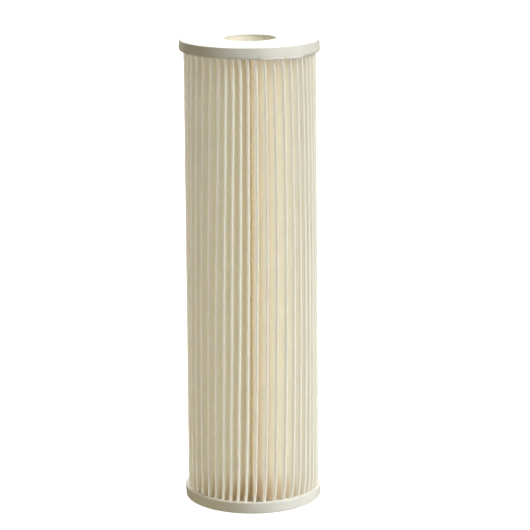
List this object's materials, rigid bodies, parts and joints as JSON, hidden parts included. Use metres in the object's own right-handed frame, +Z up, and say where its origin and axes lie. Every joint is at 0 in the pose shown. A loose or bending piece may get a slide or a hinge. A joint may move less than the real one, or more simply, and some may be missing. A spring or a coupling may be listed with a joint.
{
  "type": "pleated filter cartridge",
  "caption": "Slim cylindrical filter cartridge: pleated fabric around a perforated core tube, with a flat ring end cap at each end and an open bore through the middle.",
  "frame": {"origin": "centre of the lower end cap's outer face, on the cartridge's axis", "axes": "+Z up the axis towards the upper end cap; the sheet's side seam is on the +Y side"},
  "size_m": [0.0734, 0.0734, 0.2476],
  "materials": {
    "cap_vinyl": "satin white cast vinyl",
    "sealing_compound": "smooth white cured compound",
    "core_polypropylene": "moulded natural polypropylene",
    "media_fabric": "calendered spunbond polyester, cream",
    "seam_adhesive": "translucent amber-white hot melt"
  },
  "bodies": {
    "root": {"bottom_end_cap": "cap_vinyl", "top_end_cap": "cap_vinyl", "bottom_potting": "sealing_compound", "top_potting": "sealing_compound", "core_tube": "core_polypropylene", "pleated_media": "media_fabric", "media_seam": "seam_adhesive"}
  },
  "joints": []
}
